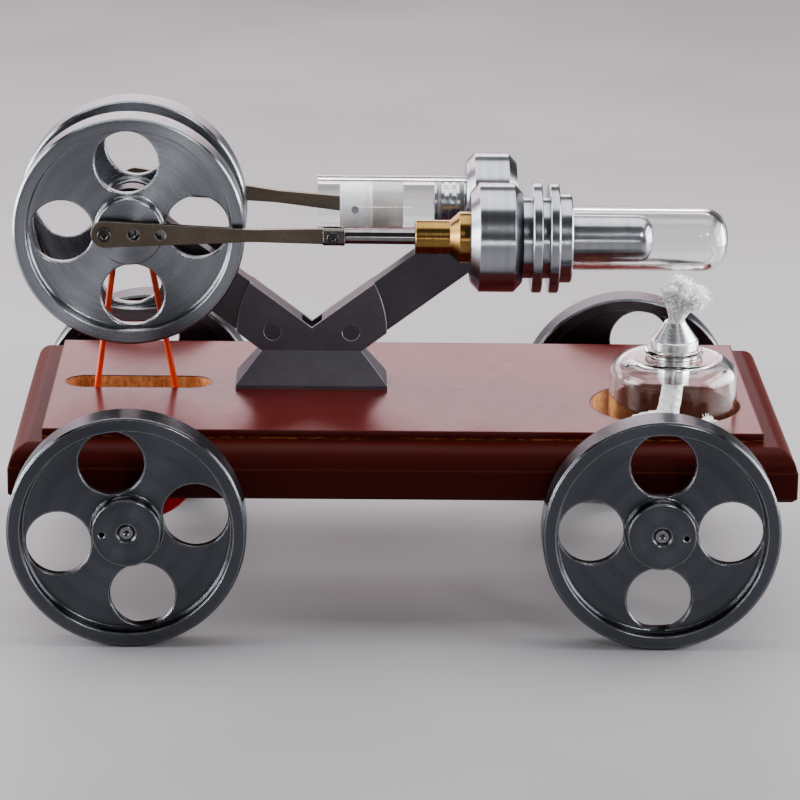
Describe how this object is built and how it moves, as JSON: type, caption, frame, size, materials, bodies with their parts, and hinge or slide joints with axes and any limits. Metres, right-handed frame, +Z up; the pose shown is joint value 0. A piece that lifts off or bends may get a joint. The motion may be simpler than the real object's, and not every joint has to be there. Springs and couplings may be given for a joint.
{
  "type": "stirling engine model car",
  "caption": "Hot-air engine on a moulded wooden board that drives one axle by belt; twin flywheels, glass hot tube over a spirit lamp, clear power cylinder.",
  "frame": {"origin": "on the floor under the middle of the bounding box", "axes": "+X from the flywheels towards the spirit lamp, along the car; +Y across the car, from the displacer side to the power side; +Z up"},
  "size_m": [0.201, 0.1282, 0.1247],
  "materials": {
    "lacquered_wood": "gloss lacquer over mahogany",
    "stand_paint": "satin charcoal",
    "arm_paint": "satin black",
    "turned_aluminium": "fine turned",
    "polished_aluminium": "polished",
    "steel": "ground",
    "rod_metal": "flat, brushed lengthways",
    "brass": "turned",
    "red_anodised": "red anodised",
    "belt_rubber": "matte orange-red",
    "seal_rubber": "matte black",
    "clear_silicone": "translucent",
    "ground_glass": "frosted, ground to fit",
    "clear_glass": "clear",
    "cotton": "twisted cotton"
  },
  "bodies": {
    "chassis": {"base_board": "lacquered_wood", "stand_block": "stand_paint", "crank_arm": "arm_paint", "cylinder_arm": "arm_paint", "arm_screws": "stand_paint", "stand_screws": "steel", "crank_bearing_outer_rings": "steel", "crank_bearing_balls": "steel", "axle_bearing_balls": "steel", "axle_bearing_blocks": "stand_paint", "axle_block_screws": "steel", "axle_bearing_outer_rings": "steel", "drive_belt": "belt_rubber", "guide_bush": "brass", "front_cylinder_cap": "polished_aluminium", "cooling_fins": "polished_aluminium", "hot_tube": "clear_glass", "hot_tube_seal": "seal_rubber", "rear_cylinder_cap": "polished_aluminium", "transfer_tube": "turned_aluminium", "power_cylinder": "clear_glass", "power_cylinder_plug": "turned_aluminium", "plug_seals": "clear_silicone", "lamp_bottle": "clear_glass", "wick_holder": "turned_aluminium", "wick": "cotton"},
    "crank": {"crankshaft": "steel", "crank_spacer": "turned_aluminium", "crank_pulley": "turned_aluminium", "flywheel_front": "turned_aluminium", "flywheel_rear": "turned_aluminium", "crank_bearing_inner_rings": "steel", "front_crank_pin": "steel", "rear_crank_pin": "steel"},
    "drive_wheels": {"drive_axle": "steel", "drive_axle_spacers": "turned_aluminium", "drive_axle_bearing_inner_rings": "steel", "wheel_front_left": "turned_aluminium", "wheel_rear_left": "turned_aluminium", "axle_pulley": "red_anodised", "axle_pulley_screw": "steel"},
    "idler_wheels": {"idler_axle": "steel", "idler_axle_spacers": "turned_aluminium", "idler_axle_bearing_inner_rings": "steel", "wheel_front_right": "turned_aluminium", "wheel_rear_right": "turned_aluminium"},
    "displacer": {"displacer_rod": "steel", "displacer_plug": "polished_aluminium", "displacer_piston": "polished_aluminium", "displacer_clevis": "steel", "clevis_pin": "steel"},
    "displacer_link": {"displacer_con_rod": "rod_metal", "front_crank_screw": "steel"},
    "power_piston": {"power_piston": "ground_glass", "wrist_pin": "steel"},
    "power_link": {"power_con_rod": "rod_metal", "rear_crank_screw": "steel"}
  },
  "joints": [
    {"name": "crank_spin", "type": "hinge", "parent": "chassis", "child": "crank", "pos_m": [-0.0705, 0.0026, 0.0947], "axis": [0, 1, 0], "continuous": true},
    {"name": "drive_axle_spin", "type": "hinge", "parent": "chassis", "child": "drive_wheels", "pos_m": [-0.0689, 0, 0.03], "axis": [0, 1, 0], "continuous": true},
    {"name": "idler_axle_spin", "type": "hinge", "parent": "chassis", "child": "idler_wheels", "pos_m": [0.0652, 0, 0.03], "axis": [0, 1, 0], "continuous": true},
    {"name": "displacer_slide", "type": "slide", "parent": "chassis", "child": "displacer", "axis": [1, 0, 0], "range_m": [0, 0.0123]},
    {"name": "displacer_link_swing", "type": "hinge", "parent": "displacer", "child": "displacer_link", "pos_m": [-0.0178, -0.0149, 0.0947], "axis": [0, 1, 0], "range_deg": [-6, 6]},
    {"name": "power_piston_slide", "type": "slide", "parent": "chassis", "child": "power_piston", "axis": [1, 0, 0], "range_m": [-0.00583, 0.00647]},
    {"name": "power_link_swing", "type": "hinge", "parent": "power_piston", "child": "power_link", "pos_m": [-0.01197, 0.0201, 0.0947], "axis": [0, 1, 0], "range_deg": [-12, 0]}
  ],
  "couplings": [
    {"joint": "drive_axle_spin", "follows": "crank_spin", "ratio": 0.23134}
  ]
}
